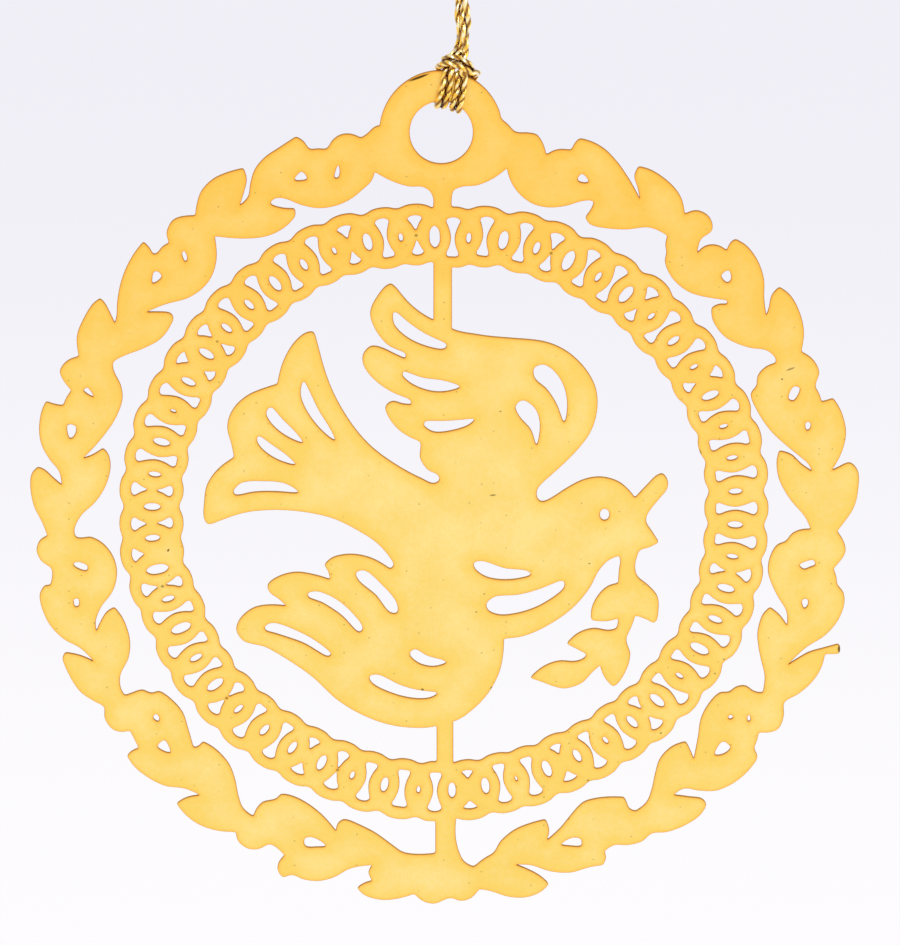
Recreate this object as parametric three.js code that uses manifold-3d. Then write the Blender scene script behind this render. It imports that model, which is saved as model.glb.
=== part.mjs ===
// A flat etched brass ornament hung on a twisted cord: a dove with an olive
// sprig, inside a ring of interlaced links, inside a wreath of leaves and
// berries with an eye at the top. Millimetres, +Z up. The plate's front faces
// -Y, and the origin is the top of the cord's loop, where the ornament hangs.
import * as THREE from 'three';
import { mergeVertices } from 'three/addons/utils/BufferGeometryUtils.js';
import Module from 'manifold-3d';

const wasm = await Module();
wasm.setup();

// Driving dimensions. Drawing points are [x, z] from the middle of the link ring.
const PLATE_THICKNESS = 0.5;
const FLATNESS = 0.07;
const MAX_SPLITS = 3;

const EYE_CENTRE = [-0.3, 39.77];
const EYE_HOLE_RADII = [3.17, 3.28];
const EYE_RIM_RADII = [6.15, 6.45];
const EYE_RIM_STEPS = 22;
const EYE_HOLE_STEPS = 26;

const LINK_RADIUS = 3.2;
const RIM_SHIFT = 0.05;
const CREST_SHARE = 0.2;
const VALLEY_FILLET = 0.09;
const OUTER_OPENING = { end: 1.98, halfWidth: 0.77 };
const INNER_OPENING = { end: -2.01, halfWidth: 0.62 };
const OPENING_MIDDLE = 0.5;
const OPENING_SHOULDER = 0.9;
const OPENING_CORNER = 0.75;
const OPENING_BEND = 1.6;
const TRIANGLE_BEND = 1.1;
const LENS_WIDTH_PER_HEIGHT = 0.45;
const LENS_SHIFT = -0.08;
const LENS_SIDES = 8;

const DOVE_EYE_CENTRE = [16.02, -0.28];
const DOVE_EYE_RADII = [0.5, 0.64];
const DOVE_EYE_STEPS = 10;

const CORD_RADIUS = 0.38;
const CORD_SIDES = 8;
const STRAND_STEP = 2.6;
const HITCH_STEP = 0.8;
const TAIL_STEP = 1.4;
const CORD_AXIS_X = 1.85;
const HANG_HEIGHT = 79.9;
const KNOT_BOTTOM = 80.65;
const KNOT_HEIGHT = 3.4;
const KNOT_RADIUS = 1.85;
const KNOT_SIDES = 16;
const KNOT_RINGS = 10;
const TAIL_SIDES = [-1, 1];
const TAIL_ROUTE = [
  [0.6, 0, 83.2], [0.75, 0.05, 84.4], [1.0, 0.1, 85.8], [1.35, 0.1, 87.2], [1.75, 0.05, 88.4],
];

const BRASS = { color: 0xf6cd78, roughness: 0.34, metalness: 1 };
const GOLD_CORD = { color: 0xd9ad45, roughness: 0.4, metalness: 0.6 };

// The links of the ring, clockwise from the top. They are drawn by hand, so no
// two are alike: [direction in degrees, reach of its opening's middle, half
// width of the opening's neck, height of the lens between it and the next].
// A neck below 0 is half the height of a bridge that parts the opening in two.
const LINKS = [
  [1.7, 28.75, 0.2, 1.2], [8, 29.1, 0.2, 2.15], [15.4, 29.25, 0.2, 1.45],
  [21.4, 29.25, -0.25, 2.35], [28.9, 29.15, 0.12, 1.2], [34.9, 29.12, 0.2, 2.2],
  [42, 29.32, -0.6, 1.1], [48.3, 29.08, 0.2, 1.5], [55.4, 29.27, 0.2, 1.05],
  [61.7, 29.3, -0.75, 1.95], [68.8, 29.35, 0.2, 1.05], [75.4, 29.42, 0.28, 1.2],
  [82.2, 29.37, 0.2, 1.45], [89.3, 29.15, 0.2, 1.65], [96, 29.22, 0.2, 1.25],
  [102.5, 29.32, -0.5, 1.9], [109.4, 29.42, 0.2, 1.6], [115.9, 29.5, 0.2, 2.2],
  [123, 29.32, 0.2, 1.05], [129.5, 29.25, 0.2, 1.95], [136.5, 29.22, -0.55, 1.65],
  [142.8, 29.07, 0.2, 1], [149.5, 29.1, 0.12, 1.55], [155.8, 29, -0.95, 1.95],
  [162.7, 29.15, 0.2, 0.65], [168.6, 29.15, 0.2, 1.85], [175.2, 29.42, -1.15, 1.75],
  [181.8, 29.52, 0.2, 0.9], [188.3, 29.52, 0.3, 1.7], [195.2, 29.45, 0.2, 1.05],
  [201.5, 29.3, -0.2, 1.85], [208.3, 29.25, -0.78, 1.55], [214.6, 29.25, 0.2, 1.45],
  [221.5, 29.35, 0.2, 1.25], [228, 29.35, -0.25, 2.05], [235.1, 29.4, 0.2, 1.45],
  [241.4, 29.2, 0.2, 2.25], [248.7, 29.05, 0.2, 1.4], [254.6, 29.3, -0.38, 2.35],
  [261.6, 29.5, -0.8, 1.6], [267.6, 29.25, -0.5, 1.8], [274.5, 29.3, -0.45, 1.35],
  [281.1, 29.25, 0.2, 1.85], [288.1, 29.25, 0.2, 0.75], [294.8, 29.02, 0.2, 1.65],
  [301.6, 29.07, -0.9, 1.85], [308.4, 29, -0.55, 1.4], [314.9, 29.27, 0.2, 1.4],
  [321.5, 29.27, 0.2, 1.95], [328.3, 29.5, 0.2, 1.4], [335, 29.62, 0.2, 0.95],
  [341.4, 29.57, -0.68, 2], [348.4, 29.25, 0.2, 1.05], [354.5, 29.17, -0.5, 2.4],
].map(([degrees, reach, neck, lensHeight]) => ({ degrees, reach, neck, lensHeight }));
// The link whose inner half was never etched through.
const HALF_OPEN_LINK = 261.6;

// In each outline below a row is one smooth stroke between two corners, and it
// starts where the row before it ended.

// The dove and its sprig, clockwise from the foot of the upper strut.
const DOVE_OUTLINE = [
  [[0.76, 19.2], [3.3, 18.6], [7, 18.2], [10, 17.85], [12.2, 16.85], [14.15, 14.9], [15.15, 12.8],
    [15.2, 10.4], [14.5, 8.22], [12.6, 5.77], [10.48, 3.7], [9.3, 2.4], [9.3, 1.4], [9.8, 1.05],
    [10.8, 1.5], [12.2, 2.45], [14, 3.4], [15.7, 3.65], [17.4, 3.15], [18.4, 2.3], [19.05, 1.45]],
  [[20.3, 2.85], [21.3, 3.85], [21.75, 4.05], [22.3, 3.3], [22.25, 2.4], [21.2, 1.05], [20.15, -1.0]],
  [[20.8, -2.15], [21.45, -3.2]],
  [[20.4, -3.75], [19.6, -4.0], [19.2, -4.9], [19.05, -5.8], [19.3, -6.8], [20.2, -7.6],
    [21.3, -8.9], [21.4, -10.4], [21.2, -11.5], [20.9, -11.7]],
  [[20.2, -11.3], [19.1, -10.9]],
  [[18.8, -11.9], [18.2, -13.5], [18.6, -15], [18.2, -16.7], [17.3, -18.15], [16.9, -18.42]],
  [[16.3, -17.8], [15.8, -16.9], [15.6, -16.15]],
  [[14.8, -16.9], [13.8, -18.0], [11.9, -18.6], [10, -18.0], [8.6, -17.5]],
  [[9.9, -16.35], [11.4, -15.75], [13.3, -15.75], [14.15, -15.3], [14.2, -14.95]],
  [[13.3, -14.45], [12.25, -13.9]],
  [[13.4, -12.8], [14.9, -12.3], [16.6, -12.5], [17.2, -12.35], [17.4, -11.7], [17.4, -11.2]],
  [[16.4, -11.48], [14.7, -11.4]],
  [[14.75, -10.2], [15.3, -8.95], [16.3, -7.9], [17.4, -7.55]],
  [[17.5, -6], [17.6, -5], [17.45, -4.6]],
  [[16.4, -5.1], [15.5, -6.1], [14.6, -7.9], [12.95, -10.0], [10.6, -11.8], [8.05, -13.03], [5.95, -13.35]],
  [[5.9, -14.8], [5.5, -16.9], [4.6, -18.8], [3.1, -20.6], [0.9, -22.1]],
  [[-0.9, -22.6]],
  [[-3.3, -22.75], [-5.8, -22.35], [-8.3, -21.35], [-10.6, -19.9], [-13.3, -17.3], [-15.6, -15.62],
    [-18.1, -14.15], [-20, -13.65], [-20.8, -12.5], [-20.4, -11.25], [-19, -10.1], [-17.3, -9.82],
    [-15.8, -9.92]],
  [[-16.5, -9.2], [-17.5, -8.4], [-17.65, -7.7], [-16.6, -6.85], [-14.9, -6.38], [-13, -6.65],
    [-11.4, -7.15]],
  [[-11.6, -6.3], [-12.0, -5.6]],
  [[-11.2, -4.85], [-9.3, -4.48], [-7.3, -4.9], [-5.4, -6.05]],
  [[-5.05, -5.6], [-5.4, -4.85], [-6.7, -3.3], [-8.8, -1.85], [-11.2, -0.65], [-14.3, 0.05],
    [-17.2, 0.22], [-20, -0.08], [-22.4, -0.9], [-23.6, -1.28], [-24.0, -0.7], [-24, 0.8],
    [-23.7, 2.8], [-22.7, 4.35], [-20.98, 5.72]],
  [[-21.2, 6.9], [-21.65, 9.1], [-21, 10.9], [-19.4, 12.35], [-16.65, 13.4]],
  [[-16.2, 15.4], [-15.3, 17.3], [-14.1, 18.6], [-13.1, 18.9], [-12.8, 18.2], [-12.2, 15.8],
    [-11.2, 12.8], [-9.5, 9.6], [-7.5, 7.05], [-5, 5.05], [-2.4, 3.55], [-0.85, 3.0]],
  [[-0.45, 3.3], [-0.6, 3.85], [-1.6, 4.4], [-2.4, 5.6], [-2.35, 6.9], [-2.37, 7.32], [-3.3, 7.8],
    [-4.7, 8.8], [-5.7, 10.25], [-5.85, 11.1], [-5.2, 11.6], [-4.2, 11.35], [-3.3, 11.25]],
  [[-3.4, 11.75], [-5, 12.5], [-6.8, 13.75], [-8, 15.3], [-8.1, 16.5], [-7.3, 17.38], [-6.2, 17.2],
    [-4.9, 16.55], [-3.9, 16.08]],
  [[-3.85, 16.6], [-5.55, 17.5], [-6.85, 19.12], [-7.38, 20.9], [-6.8, 22.4], [-5.8, 23.7],
    [-5.3, 23.95], [-4.8, 23.5], [-3.6, 22], [-1.2, 20.18]],
  [[0.76, 19.2]],
];

// Slots between the feathers, each a smooth closed loop.
const TAIL_SLOTS = [
  [[-14.05, 13.75], [-13.5, 12.8], [-12.62, 10.85], [-11.4, 8.75], [-10.9, 7.5], [-12, 8.3],
    [-13.5, 10.2], [-14.35, 12.3]],
  [[-17.35, 11.05], [-16.32, 9.95], [-14.95, 8.5], [-14.1, 7.25], [-15.7, 7.9], [-17, 8.95], [-17.8, 10.35]],
  [[-18.6, 8.0], [-17.3, 7.15], [-15.6, 5.85], [-14.85, 4.95], [-16.5, 5.4], [-18, 6.4], [-18.7, 7.4]],
  [[-21.1, 2.1], [-20.3, 3.05], [-18.2, 3.25], [-15.9, 3.0], [-14.55, 2.05], [-17, 2.12],
    [-19.5, 1.98], [-20.9, 1.72]],
];
const RAISED_WING_SLOTS = [
  [[-5.0, 21.05], [-3.65, 20.0], [-1.65, 18.6], [0.25, 17.55], [0.0, 17.1], [-2, 17.45],
    [-3.9, 18.45], [-5.05, 19.8]],
  [[-4.1, 14.75], [-2.4, 14.2], [0, 13.8], [1.6, 13.15], [0.4, 12.68], [-1.2, 12.65], [-3.2, 13.4],
    [-4.2, 14.4]],
  [[-1.95, 9.5], [-0.4, 9.58], [1.6, 9.7], [3.05, 9.75], [2.4, 9.1], [0.6, 8.5], [-1.1, 8.4],
    [-2.05, 9.1]],
  [[8.95, 15.1], [9.9, 15.5], [11.15, 14.6], [12.1, 12.7], [12.26, 10.6], [11.95, 9.4], [11.3, 11.1],
    [10.2, 12.9], [9, 14.1]],
  [[7.1, 11.1], [7.8, 11.75], [9.05, 10.9], [9.56, 9.2], [9.2, 7.0], [8.7, 8.5], [7.5, 10]],
];
const BODY_SLOTS = [
  [[3.0, -5.3], [3.9, -5.18], [6, -5.9], [8.3, -6.2], [8.7, -6.6], [6.6, -7.15], [4.2, -6.87],
    [3.0, -5.9]],
  [[4.2, -9.7], [5.1, -8.9], [7, -8.75], [9.8, -8.0], [11.9, -7.25], [12.0, -7.95], [10.2, -9.5],
    [8.2, -10.45], [5.6, -10.88], [4.4, -10.4]],
];
const LOWERED_WING_SLOTS = [
  [[-8.85, -6.4], [-8, -6.15], [-6.25, -7.65], [-4.8, -9.5], [-4.68, -10.65], [-5.4, -10.65],
    [-6.8, -8.85], [-8.6, -7.2]],
  [[-13.7, -8.6], [-12.8, -8.35], [-10.72, -9.25], [-8.9, -11.0], [-8.15, -12.25], [-8.5, -12.72],
    [-10.2, -11], [-12.3, -9.55], [-13.6, -9.0]],
  [[-18, -12.1], [-17.2, -11.68], [-15.1, -12.35], [-12.7, -13.7], [-11.3, -15.05], [-11.6, -15.28],
    [-14, -13.9], [-17, -12.8], [-17.9, -12.5]],
  [[-7.5, -17.3], [-6.6, -17.15], [-4.6, -18.15], [-2.4, -18.8], [-0.65, -19.1], [-1.4, -19.62],
    [-3.2, -19.68], [-5.6, -19], [-7.3, -18]],
  [[-3.4, -14.75], [-2.9, -14.45], [-1.9, -15.05], [0.25, -15.85], [-1.1, -16.32], [-2.6, -15.95],
    [-3.45, -15.1]],
];

// The wreath's edges, each from the eye down to the foot of the ornament.
const WREATH_OUTER_LEFT = [
  [[-6.45, 40.45], [-7, 40.25], [-7.6, 39.65], [-8.3, 39.15]],
  [[-9.2, 39.55], [-10.3, 39.5], [-11.1, 38.95], [-11.8, 38.0]],
  [[-12.5, 38.05], [-13.4, 38.0]],
  [[-14.0, 38.8], [-14.75, 39.3]],
  [[-16.5, 38.1], [-17.9, 37.1], [-18.9, 35.8], [-19.3, 34.4], [-19.55, 33.0], [-20.4, 32.1]],
  [[-20.0, 33.4], [-19.7, 35.0], [-20.0, 36.0]],
  [[-21.0, 35.75], [-22.9, 34.95], [-24.2, 33.6], [-24.65, 32.2], [-24.8, 31.05]],
  [[-25.8, 31.0], [-27.0, 30.6], [-27.65, 29.3], [-27.4, 28.2]],
  [[-28.1, 27.8], [-28.75, 27.05]],
  [[-29.05, 27.05]],
  [[-29.6, 27.95], [-30.0, 28.3]],
  [[-30.9, 27.1], [-31.7, 25.6], [-32.3, 23.8], [-32.6, 22.0], [-32.7, 20.4], [-32.85, 19.8]],
  [[-33.3, 20.8], [-33.9, 21.95], [-34.3, 22.4]],
  [[-35.0, 21.85], [-36.0, 20.2], [-36.6, 18.6], [-36.45, 16.3]],
  [[-37.6, 15.85], [-38.35, 14.8], [-38.0, 13.8], [-37.2, 12.75]],
  [[-37.7, 12.0], [-38.05, 11.15]],
  [[-39.1, 11.35], [-39.75, 11.6]],
  [[-40.15, 10.7], [-40.45, 8.7], [-40.2, 7.0], [-39.4, 5.5], [-38.5, 4.3], [-38.2, 2.8]],
  [[-39.1, 3.6], [-40.0, 4.45], [-40.6, 4.7]],
  [[-41.2, 4.0], [-41.35, 2.8], [-41.0, 0.6], [-40.2, -1.1], [-39.65, -2.55]],
  [[-40.4, -3.0], [-40.75, -4.1], [-40.3, -5.15], [-39.25, -6.05]],
  [[-39.2, -6.8], [-39.4, -7.75]],
  [[-40.0, -7.8]],
  [[-40.45, -8.7], [-40.2, -10.3], [-39.4, -12.0], [-38.0, -13.45], [-36.5, -14.3], [-35.05, -15.8]],
  [[-36.3, -15.2], [-37.95, -14.83]],
  [[-38.2, -15.4], [-37.6, -17.1], [-36.5, -18.9], [-35, -20.0], [-34.1, -20.55]],
  [[-34.0, -21.8], [-33.2, -22.95], [-32.2, -23.2], [-31.5, -23.05]],
  [[-31.0, -24.1], [-30.6, -24.95]],
  [[-31.3, -25.25], [-31.8, -25.75]],
  [[-31.2, -26.7], [-29.8, -27.95], [-28, -28.9], [-26, -29.2], [-24.45, -29.9]],
  [[-26, -30.25], [-26.85, -30.8]],
  [[-26.1, -31.8], [-24.7, -32.95], [-23, -33.6], [-20.9, -33.8]],
  [[-20.65, -34.8], [-19.7, -35.55], [-18.6, -35.6], [-17.5, -35.1]],
  [[-16.5, -35.75], [-16, -36.3]],
  [[-16.6, -37.05], [-16.7, -37.9], [-16.15, -38.65]],
  [[-15.3, -38.35], [-14.2, -38.8], [-12.8, -39.0], [-11.2, -38.65], [-9.5, -37.7], [-7.2, -37.3]],
  [[-7.6, -38.1], [-7.2, -39.0]],
  [[-8.0, -39.25], [-8.75, -39.75]],
  [[-8, -40.5], [-6.2, -41.0], [-4.4, -40.8], [-3.0, -40.35]],
  [[-2.2, -41.1], [-1.0, -41.4], [0.1, -40.95], [0.6, -40.8]],
  [[1.6, -41.1], [2.6, -40.85], [3.5, -39.85]],
];
const WREATH_OUTER_RIGHT = [
  [[5.65, 41.15], [6.3, 40.6], [7.1, 39.78], [8.3, 39.7], [9.2, 39.5], [9.85, 38.5], [10.15, 37.4]],
  [[11.1, 37.9], [12.65, 37.9]],
  [[13.1, 38.75], [13.4, 39.05]],
  [[14.3, 38.9], [15.7, 38.2], [17.1, 36.8], [18.2, 35.2], [19.5, 32.8]],
  [[19.3, 33.9], [18.95, 35.3], [19.35, 36.2]],
  [[20.5, 35.85], [22.3, 34.6], [23.5, 33.1], [23.95, 31.2]],
  [[25.2, 31.58], [26.4, 30.9], [26.7, 29.6], [25.6, 28.65], [25.2, 27.15]],
  [[26.1, 27.9], [27.2, 27.95], [28.15, 27.4]],
  [[28.6, 28.3], [29.0, 28.6]],
  [[30.1, 27.9], [31.2, 26.4], [31.85, 24.4], [31.88, 22.4], [32.1, 20.6]],
  [[32.35, 21.3], [32.7, 22.8], [33.4, 23.58]],
  [[34.5, 22.7], [35.4, 21.0], [35.85, 19.0], [35.6, 16.8]],
  [[36.7, 16.05], [37.4, 14.7], [37.05, 13.1]],
  [[37.45, 12.3], [37.65, 11.55]],
  [[38.2, 11.7], [38.8, 11.92]],
  [[39.5, 10.8], [40.1, 8.4], [39.7, 6.3], [38.7, 4.35]],
  [[39.5, 4.75], [40.5, 5.15], [41.3, 4.3], [41.35, 2.5], [40.9, 0.4], [39.25, -2.05]],
  [[39.9, -3.1], [40.1, -4.2], [39.4, -5.4], [38.9, -6.0]],
  [[39.2, -6.9], [39.3, -7.65]],
  [[39.9, -8.5], [40, -9.7], [39.4, -11.4], [38.1, -13], [36.25, -14.25], [34.35, -16.15]],
  [[35.4, -15.45], [36.4, -14.85], [38, -14.35], [39.5, -13.92]],
  [[39.62, -14.4], [39.52, -14.95]],
  [[38.1, -14.98]],
  [[37.75, -16.4], [36.8, -17.95], [35.5, -19.15], [34, -20.2]],
  [[34, -21.4], [33.5, -22.85], [32.5, -23.25], [31.5, -23.25]],
  [[31.3, -24.2], [31.05, -24.95]],
  [[31.38, -25.85]],
  [[30.8, -26.9], [29.3, -28.4], [27.3, -29.4], [25.5, -29.4], [24, -29.2], [22.95, -29.9]],
  [[24.5, -30.1], [26, -30.45]],
  [[26.25, -30.9], [25.7, -31.95], [24.2, -33.05], [22.2, -33.82], [20.8, -33.95]],
  [[19.9, -34.75], [18.4, -35.18], [17, -35.2], [16.05, -35.85]],
  [[16.2, -36.6], [15.95, -37.3]],
  [[14.7, -37.5], [12.6, -38.1], [10.6, -37.95], [8.6, -37.3], [7.1, -37.25]],
  [[8.3, -37.75], [9.8, -38.65], [10.5, -39.35]],
  [[9.6, -40.2], [8, -40.75], [6.2, -40.6], [4.6, -40.05], [3.5, -39.85]],
];
const WREATH_INNER_LEFT = [
  [[-1.1, 33.0], [-1.4, 33.6], [-2.0, 34.05], [-3.5, 34.15], [-5.2, 34.7], [-6.95, 35.68]],
  [[-7.2, 34.8], [-8.1, 33.85], [-9.25, 32.88], [-10.6, 32.2], [-12.4, 31.88], [-14.2, 32.2],
    [-15.8, 32.85], [-16.8, 32.93], [-17.35, 32.35], [-16.2, 31.87], [-14.9, 31.8]],
  [[-14.85, 31.1], [-16, 29.8], [-17.7, 28.95], [-20, 28.7], [-22.9, 28.95]],
  [[-22.75, 27.9], [-22.72, 26.5], [-23.35, 24.42], [-25.1, 22.72], [-28.2, 21.68], [-29.75, 20.98]],
  [[-28.4, 20.98], [-27.3, 20.85], [-27.05, 20.5]],
  [[-27.4, 19.4], [-28.3, 18.2], [-30, 17.2], [-32, 16.4], [-33.05, 15.7], [-32.95, 14.7],
    [-32.3, 13.3], [-32.15, 11.8], [-32.9, 9.7], [-34.1, 7.9], [-36.1, 5.62]],
  [[-35.1, 6.0], [-34.1, 6.68]],
  [[-33.6, 6.1], [-33.35, 4.8], [-33.9, 2.6], [-35, 0.9], [-36.2, -0.25], [-37, -1.9], [-36.8, -2.7],
    [-36.2, -2.78], [-35.4, -2.68], [-34.1, -3.4], [-33.1, -4.8], [-32.75, -6.5], [-33.2, -8.4],
    [-34.3, -9.95], [-34.9, -11.5], [-34.82, -12.6]],
  [[-34.4, -11.6], [-33.7, -10.5], [-33.0, -10.08]],
  [[-32.2, -11.2], [-31.5, -13.4], [-31.6, -15.3], [-32.5, -17.5], [-32.35, -18.8], [-32.0, -19.4]],
  [[-31.2, -19.1], [-30.3, -18.8], [-29.25, -19.15]],
  [[-28.6, -18.95], [-27.3, -19.85], [-26.2, -21.2], [-25.7, -22.8], [-25.15, -24.85]],
  [[-24.85, -24.85], [-24.2, -24.25]],
  [[-23.0, -25.0], [-21.6, -26.6], [-21, -28.2], [-20.65, -30], [-20.2, -31.3], [-19.15, -32.2]],
  [[-18.95, -31.6], [-18.3, -30.75], [-16.75, -30.25]],
  [[-16.4, -29.87], [-15.2, -30.05], [-13.7, -30.85], [-12.2, -32.1], [-10.85, -33.75]],
  [[-10.7, -33.0], [-10.1, -32.52], [-8.8, -32.95], [-7, -33.9], [-5.2, -35.25], [-4.2, -35.98],
    [-2.6, -36.22], [-0.8, -36.1]],
];
const WREATH_INNER_RIGHT = [
  [[0.7, 32.8], [0.95, 33.75], [1.7, 34.1], [3.2, 34.25], [4.9, 35.0], [6.25, 36.05]],
  [[6.5, 35.0], [7.2, 33.7], [8.6, 32.45], [10.2, 31.97], [12, 32.1], [13.9, 32.65], [14.85, 32.6],
    [14.75, 32.0], [14.05, 30.9]],
  [[14.5, 30.2], [16, 29.8], [18, 29.65], [20.6, 29.82], [22.25, 29.0]],
  [[22.05, 28.0], [22.15, 27.2], [22, 26.3], [22.7, 24.6], [24.4, 23.1], [26.5, 22.5], [28.2, 22.25]],
  [[28.25, 21.78]],
  [[27.3, 21.75], [26.65, 21.4]],
  [[26.8, 20.1], [28.1, 18.32], [30.4, 17.28], [32.4, 16.85]],
  [[33.1, 15.95], [33.05, 15.6]],
  [[32.1, 15.2], [31.3, 14.3], [31.15, 13.2]],
  [[30.6, 12.4], [31.05, 11.0], [32.5, 8.65], [34.5, 6.7], [36.4, 5.0], [36.75, 4.25]],
  [[35.7, 5.0], [34.6, 6.05], [33.45, 6.42]],
  [[33.22, 5.3], [33.45, 3.45], [34.5, 1.42], [36.2, -0.78], [36.65, -1.85]],
  [[35.7, -1.9], [34.8, -2.3], [34.1, -3.15]],
  [[33.3, -3.5], [32.6, -4.7], [32.4, -6.4], [33.3, -8.8], [34.3, -10.7], [34.3, -12.0]],
  [[33.6, -10.95], [32.6, -10.08]],
  [[31.9, -10.8], [31.35, -12.9], [31.7, -15.5], [32.1, -17.4], [31.9, -19.1]],
  [[31.1, -19.0], [30.1, -18.35], [29.2, -18.5], [28.5, -19.02]],
  [[27.6, -19.1], [26.6, -20.1], [25.75, -21.7], [25.42, -23.8], [25, -26.1]],
  [[24.7, -25.3], [24.2, -24.25]],
  [[22.8, -24.8], [21.6, -26.1], [21.15, -27.6], [20.8, -29.3], [20.3, -30.65], [19.15, -31.65]],
  [[18.5, -31.3], [18.25, -30.6], [18, -30.15]],
  [[16.2, -30.15], [14, -30.65], [12.8, -31.9], [11.6, -33.45], [10.3, -34.7]],
  [[10.5, -33.6], [10.15, -32.5]],
  [[8.7, -32.9], [7, -33.65], [5.6, -34.9], [4.9, -36.1]],
  [[4.1, -36.6], [2.95, -37.55]],
  [[2, -37], [1.45, -35.9], [1.1, -34.5]],
];

// Small openings between the wreath's leaves and berries, as smooth loops.
const WREATH_OPENINGS = [
  [[-14.95, 34.78], [-14.2, 35.7], [-13.65, 34.9]],
  [[-10.95, 35.05], [-10.55, 36.4], [-10.4, 35.5], [-10.65, 34.95]],
  [[-26.15, 27.2], [-25.95, 27.45], [-25.6, 26.55], [-25.8, 26.2]],
  [[-29.1, 23.95], [-28.95, 25.2], [-28.65, 25.3], [-28.15, 24.7]],
  [[-36.0, 12.75], [-35.65, 13.1], [-34.98, 12.05]],
  [[-37.65, 8.4], [-37.6, 9.2], [-36.75, 9.0], [-36.95, 8.0], [-37.35, 7.65]],
  [[-37.15, -5.5], [-36.8, -5.25], [-35.7, -5.65], [-35.75, -6.22], [-36.9, -5.82]],
  [[-37.05, -9.15], [-36.6, -9.1], [-36.6, -9.98], [-36.95, -10.02]],
  [[-29.2, -21.7], [-28.9, -21.28], [-28.55, -21.6], [-28.65, -22.15]],
  [[-28.75, -24.8], [-28.05, -24.05], [-27.45, -25.45]],
  [[-14.0, -34.45], [-13.1, -34.4], [-11.85, -35.3], [-12.9, -35.42], [-13.95, -35.35]],
  [[13.25, 34.8], [13.7, 35.5], [14.4, 34.6], [13.8, 34.5]],
  [[27.6, 24.8], [28.35, 25.4], [28.6, 24.4], [28.2, 24.02]],
  [[34.35, 11.9], [34.9, 13.2], [35.5, 13.0], [34.85, 11.65]],
  [[36.05, 9.4], [36.5, 9.5], [36.55, 8.75], [36.2, 8.5]],
  [[35.5, -5.6], [36.9, -5.05], [37.1, -5.6], [36.5, -5.85], [36.0, -6.08]],
  [[35.78, -9.3], [36.3, -9.15], [36.45, -9.6], [36.02, -10.22]],
  [[28.4, -21.75], [28.7, -21.33], [28.98, -21.65], [28.65, -21.92]],
  [[30.32, -21.9], [30.5, -21.35], [30.7, -21.9], [30.5, -22.18]],
  [[27.1, -25.65], [27.9, -24.2], [28.7, -24.9], [27.9, -25.6]],
  [[11.72, -35.15], [12.7, -34.45], [13.65, -34.5], [13.75, -35.28], [12.6, -35.3]],
];

// The upper and lower struts that carry the dove and the ring in the wreath.
const STRUTS = [
  [[-1.12, 31.6], [0.72, 31.6], [0.72, 34.7], [-1.12, 34.7]],
  [[-1.06, 18.6], [0.74, 18.6], [0.74, 26.4], [-1.06, 26.4]],
  [[-0.75, -21.4], [0.88, -21.4], [0.88, -26.75], [-0.75, -26.75]],
  [[-0.88, -32.1], [1.16, -32.1], [1.2, -37], [-0.88, -37]],
];

// The doubled cord's hitch on the eye, a girth hitch, from one standing strand
// to the other: [x, y, z] along the middle of the pair of threads.
const HITCH_ROUTE = [
  [2.08, -0.78, 48.6], [2.0, -0.84, 47.9], [1.82, -0.87, 47.1], [1.7, -0.86, 46.2], [1.68, -0.86, 45.2],
  [1.6, -0.86, 44.3], [1.4, -0.86, 43.5], [1.18, -0.78, 42.75], [1.06, -0.36, 42.22], [1.12, 0.22, 42.2],
  [1.32, 0.76, 42.75], [1.75, 0.88, 43.6], [2.25, 0.88, 44.5], [2.7, 0.82, 45.3], [2.97, 0.5, 45.9],
  [3.05, 0.0, 46.12], [2.95, -0.6, 46.28], [2.66, -1.18, 46.68], [2.06, -1.64, 47.28], [1.3, -1.78, 47.68],
  [0.55, -1.6, 47.78], [0.0, -1.08, 47.55], [-0.24, -0.42, 47.05], [-0.3, 0.28, 46.62], [-0.3, 0.78, 46.0],
  [-0.3, 0.88, 45.2], [-0.4, 0.87, 44.2], [-0.45, 0.76, 43.15], [-0.43, 0.24, 42.52], [-0.36, -0.34, 42.55],
  [-0.22, -0.77, 43.1], [-0.03, -0.86, 43.9], [0.22, -0.86, 44.8], [0.34, -0.86, 45.7], [0.46, -0.82, 46.5],
  [0.74, -0.56, 47.25], [1.14, -0.18, 47.9], [1.46, 0.14, 48.45], [1.6, 0.22, 48.95],
];
// The two strands of the loop above the hitch: [height, lean of the pair,
// sideways spread, depth], mirrored about the axis of the pair.
const STRAND_ROUTE = [
  [49.2, -0.275, 0.25, 0.5], [51.2, -0.26, 0.25, 0.5], [53.2, -0.22, 0.25, 0.5], [55.2, -0.17, 0.3, 0.5],
  [57.2, -0.12, 0.45, 0.5], [59.2, -0.08, 0.8, 0.46], [61.2, -0.05, 1.35, 0.4], [63.2, -0.02, 2.0, 0.32],
  [65.2, 0, 2.6, 0.23], [67.2, 0, 3.0, 0.15], [69.2, 0, 3.2, 0.08], [71.2, 0, 3.15, 0.03],
  [73.2, 0, 2.85, 0], [75.2, 0, 2.3, 0], [77, 0, 1.6, 0], [78.6, 0, 0.98, 0], [79.6, 0, 0.7, 0],
];
const STRAND_SIDES = { cord_strand_right: 1, cord_strand_left: -1 };

// Splits a span of a curve until its chord lies within FLATNESS of it.
function flattenSpan(curve, from, to, depth, points) {
  const middle = (from + to) / 2;
  const start = curve.getPoint(from);
  const end = curve.getPoint(to);
  const bulge = curve.getPoint(middle).distanceTo(start.clone().lerp(end, 0.5));
  if (depth > 0 && bulge > FLATNESS) {
    flattenSpan(curve, from, middle, depth - 1, points);
    flattenSpan(curve, middle, to, depth - 1, points);
  } else {
    points.push(new THREE.Vector2(end.x, end.y));
  }
}

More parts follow.
